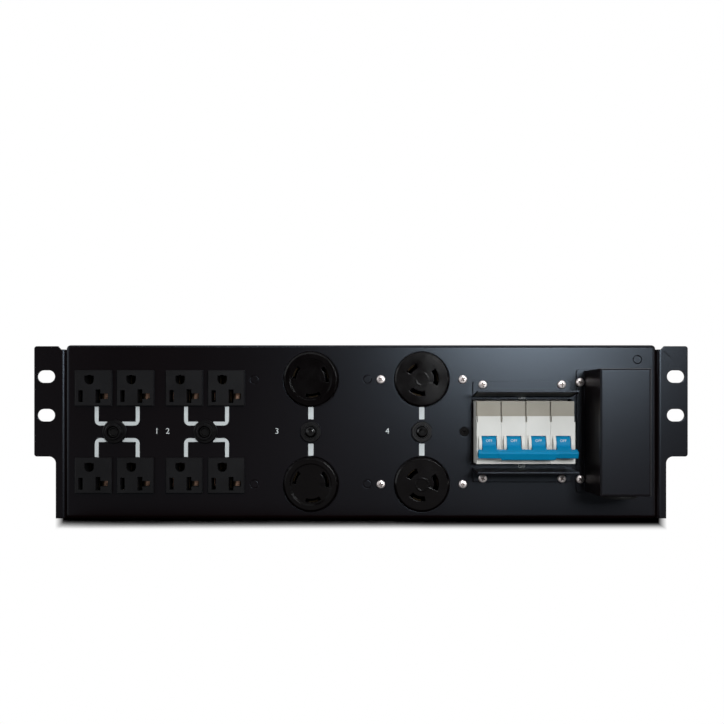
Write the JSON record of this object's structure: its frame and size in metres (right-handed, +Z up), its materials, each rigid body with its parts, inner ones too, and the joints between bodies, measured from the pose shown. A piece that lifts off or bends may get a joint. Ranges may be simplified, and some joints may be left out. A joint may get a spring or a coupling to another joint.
{
  "type": "rack power distribution unit",
  "caption": "Rack-mount power distribution unit: flat panel of straight-blade and twist-lock outlets with reset breakers, a tied input breaker between guards and a covered cable entry.",
  "frame": {"origin": "centre of the four rack slots, on the rear face of the ears", "axes": "+X to the right seen from the front, +Y to the back, +Z up"},
  "size_m": [0.4826, 0.1387, 0.128],
  "materials": {
    "powder_coat": "satin black powder coat",
    "nickel": "bright nickel plate",
    "zinc_steel": "zinc plate",
    "brass": "bare brass",
    "black_screw": "black oxide",
    "outlet_plastic": "moulded, slightly rough",
    "lock_plastic": "moulded, semi-gloss",
    "breaker_plastic": "moulded, light grey",
    "handle_plastic": "moulded, blue",
    "collar_plastic": "moulded, black",
    "button_plastic": "moulded, black",
    "block_plastic": "moulded, black",
    "rubber": "moulded",
    "wire_insulation": "extruded insulation"
  },
  "bodies": {
    "frame": {"branch_wires": "wire_insulation", "breaker_boot_1": "collar_plastic", "breaker_boot_2": "collar_plastic", "breaker_nut_3": "collar_plastic", "breaker_nut_4": "collar_plastic", "breaker_tabs": "brass", "cable_grommet": "rubber", "chassis_shell": "powder_coat", "clinch_studs": "powder_coat", "din_rail": "zinc_steel", "ear_screws": "nickel", "feed_wires": "wire_insulation", "locking_contacts": "brass", "locking_outlet_1": "lock_plastic", "locking_outlet_2": "lock_plastic", "locking_outlet_3": "lock_plastic", "locking_outlet_4": "lock_plastic", "lower_guard": "powder_coat", "main_breaker_pole_1": "breaker_plastic", "main_breaker_pole_2": "breaker_plastic", "main_breaker_pole_3": "breaker_plastic", "main_breaker_pole_4": "breaker_plastic", "outlet_1": "outlet_plastic", "outlet_2": "outlet_plastic", "outlet_3": "outlet_plastic", "outlet_4": "outlet_plastic", "outlet_5": "outlet_plastic", "outlet_6": "outlet_plastic", "outlet_7": "outlet_plastic", "outlet_8": "outlet_plastic", "outlet_bus_wires": "wire_insulation", "outlet_contacts": "brass", "outlet_housings": "outlet_plastic", "outlet_straps": "zinc_steel", "panel_screws": "nickel", "rack_ear_left": "powder_coat", "rack_ear_right": "powder_coat", "rail_screws": "black_screw", "rail_standoffs": "zinc_steel", "rear_cover": "powder_coat", "rear_cover_screws": "nickel", "reset_breaker_1": "collar_plastic", "reset_breaker_2": "collar_plastic", "reset_breaker_3": "collar_plastic", "reset_breaker_4": "collar_plastic", "stud_nuts": "zinc_steel", "terminal_block": "block_plastic", "terminal_cover": "powder_coat", "terminal_pins": "brass", "terminal_screws": "zinc_steel", "upper_guard": "powder_coat"},
    "handle": {"breaker_toggle_1": "handle_plastic", "breaker_toggle_2": "handle_plastic", "breaker_toggle_3": "handle_plastic", "breaker_toggle_4": "handle_plastic", "handle_tie_bar": "handle_plastic"},
    "button_1": {"reset_button_1": "button_plastic"},
    "button_2": {"reset_button_2": "button_plastic"},
    "button_3": {"reset_button_3": "button_plastic"},
    "button_4": {"reset_button_4": "button_plastic"}
  },
  "joints": [
    {"name": "handle_pivot", "type": "hinge", "parent": "frame", "child": "handle", "pos_m": [0.1184, -0.014, -0.0352], "axis": [-1, 0, 0], "range_deg": [0, 50]},
    {"name": "reset_slide_1", "type": "slide", "parent": "frame", "child": "button_1", "axis": [0, -1, 0], "range_m": [0, 0.004]},
    {"name": "reset_slide_2", "type": "slide", "parent": "frame", "child": "button_2", "axis": [0, -1, 0], "range_m": [0, 0.004]},
    {"name": "reset_slide_3", "type": "slide", "parent": "frame", "child": "button_3", "axis": [0, -1, 0], "range_m": [0, 0.004]},
    {"name": "reset_slide_4", "type": "slide", "parent": "frame", "child": "button_4", "axis": [0, -1, 0], "range_m": [0, 0.004]}
  ]
}
